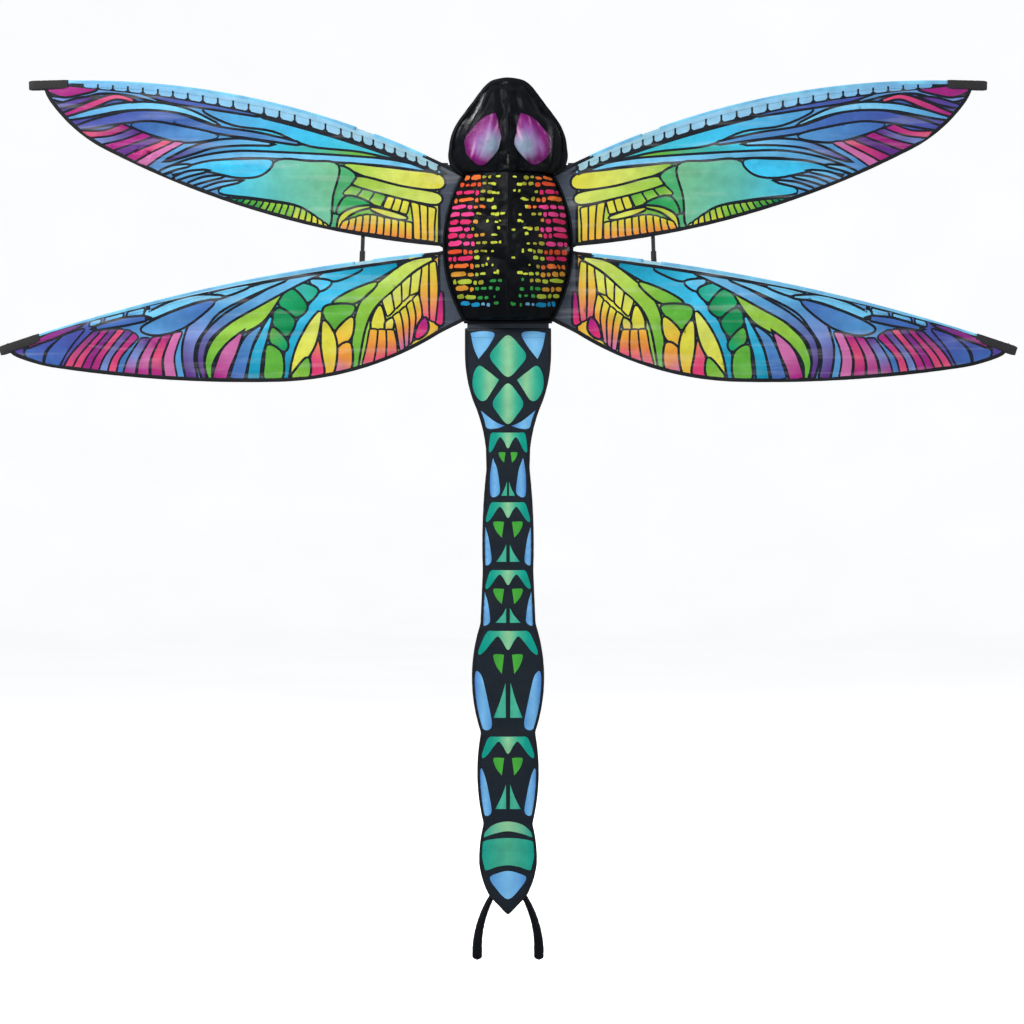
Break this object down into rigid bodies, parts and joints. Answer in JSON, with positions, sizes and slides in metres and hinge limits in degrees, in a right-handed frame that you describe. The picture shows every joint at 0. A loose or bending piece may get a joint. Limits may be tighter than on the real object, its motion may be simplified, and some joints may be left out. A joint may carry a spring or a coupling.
{
  "type": "dragonfly kite",
  "caption": "Flat-winged dragonfly kite with a domed head and thorax, folding rod-edged wings, a hinged flat abdomen and soft tail claspers, flown from a neck eyelet.",
  "frame": {"origin": "centre of the tow eyelet that stands out of the neck", "axes": "+X across the wings, towards the right-hand side of a front view; +Y to the kite's back; +Z to its head"},
  "size_m": [1.8006, 0.0867, 1.5582],
  "materials": {
    "wing_print": "printed polyester, satin",
    "thorax_print": "printed black satin",
    "abdomen_print": "printed polyester, satin",
    "eye_print": "printed satin",
    "black_satin": "satin",
    "dark_cloth": "ripstop",
    "black_tape": "folded tape",
    "sleeve_cloth": "folded cloth",
    "black_webbing": "woven webbing",
    "carbon_rod": "fibre-reinforced rod",
    "black_rod": "satin",
    "black_vinyl": "soft vinyl",
    "moulded_plastic": "moulded",
    "hoop_plastic": "flat strip",
    "steel_pin": "drawn",
    "eyelet_metal": "plated",
    "ferrule_metal": "drawn"
  },
  "bodies": {
    "body": {"head_hood": "black_satin", "head_binding": "black_tape", "head_hoop": "hoop_plastic", "thorax_shell": "thorax_print", "thorax_piping": "black_tape", "body_back_panel": "dark_cloth", "eye_panels": "eye_print", "root_gussets": "dark_cloth", "body_spine": "carbon_rod", "spine_top_pocket": "black_webbing", "centre_spreaders": "carbon_rod", "cross_connectors": "moulded_plastic", "hinge_clevises": "moulded_plastic", "hinge_pins": "steel_pin", "abdomen_hinge_clevis": "moulded_plastic", "tow_tab": "black_webbing", "tow_eyelet": "eyelet_metal"},
    "left_wing": {"left_forewing_sail": "wing_print", "left_forewing_root_panel": "dark_cloth", "left_forewing_binding": "black_tape", "left_forewing_sleeve": "sleeve_cloth", "left_forewing_spar": "carbon_rod", "left_forewing_tip_pocket": "black_webbing", "left_forewing_hinge_tongue": "moulded_plastic", "left_hindwing_sail": "wing_print", "left_hindwing_root_panel": "dark_cloth", "left_hindwing_binding": "black_tape", "left_hindwing_sleeve": "sleeve_cloth", "left_hindwing_spar": "carbon_rod", "left_hindwing_tip_pocket": "black_webbing", "left_hindwing_hinge_tongue": "moulded_plastic", "left_wing_strut": "black_rod", "left_strut_connectors": "black_vinyl"},
    "right_wing": {"right_forewing_sail": "wing_print", "right_forewing_root_panel": "dark_cloth", "right_forewing_binding": "black_tape", "right_forewing_sleeve": "sleeve_cloth", "right_forewing_spar": "carbon_rod", "right_forewing_tip_pocket": "black_webbing", "right_forewing_hinge_tongue": "moulded_plastic", "right_hindwing_sail": "wing_print", "right_hindwing_root_panel": "dark_cloth", "right_hindwing_binding": "black_tape", "right_hindwing_sleeve": "sleeve_cloth", "right_hindwing_spar": "carbon_rod", "right_hindwing_tip_pocket": "black_webbing", "right_hindwing_hinge_tongue": "moulded_plastic", "right_wing_strut": "black_rod", "right_strut_connectors": "black_vinyl"},
    "abdomen": {"abdomen_panel": "abdomen_print", "abdomen_binding": "black_tape", "abdomen_rod_upper": "carbon_rod", "rod_ferrule": "ferrule_metal", "abdomen_rod_lower": "carbon_rod", "rod_loops": "black_webbing", "tail_pocket": "black_webbing", "abdomen_hinge_tongue": "moulded_plastic", "clasper_holders": "moulded_plastic"},
    "left_clasper": {"left_clasper": "black_satin"},
    "right_clasper": {"right_clasper": "black_satin"}
  },
  "joints": [
    {"name": "left_wing_fold", "type": "hinge", "parent": "body", "child": "left_wing", "pos_m": [0.118, 0.0682, -0.08], "axis": [0, 0, 1], "range_deg": [-10, 90], "stiffness_Nm_per_rad": 0.35},
    {"name": "right_wing_fold", "type": "hinge", "parent": "body", "child": "right_wing", "pos_m": [-0.118, 0.0682, -0.08], "axis": [0, 0, -1], "range_deg": [-10, 90], "stiffness_Nm_per_rad": 0.35},
    {"name": "abdomen_fold", "type": "hinge", "parent": "body", "child": "abdomen", "pos_m": [0, 0.0728, -0.278], "axis": [1, 0, 0], "range_deg": [-10, 90]},
    {"name": "left_clasper_swing", "type": "hinge", "parent": "abdomen", "child": "left_clasper", "pos_m": [0.027, 0.07, -1.288], "axis": [1, 0, 0], "range_deg": [-10, 75]},
    {"name": "right_clasper_swing", "type": "hinge", "parent": "abdomen", "child": "right_clasper", "pos_m": [-0.027, 0.07, -1.288], "axis": [1, 0, 0], "range_deg": [-10, 75]}
  ]
}
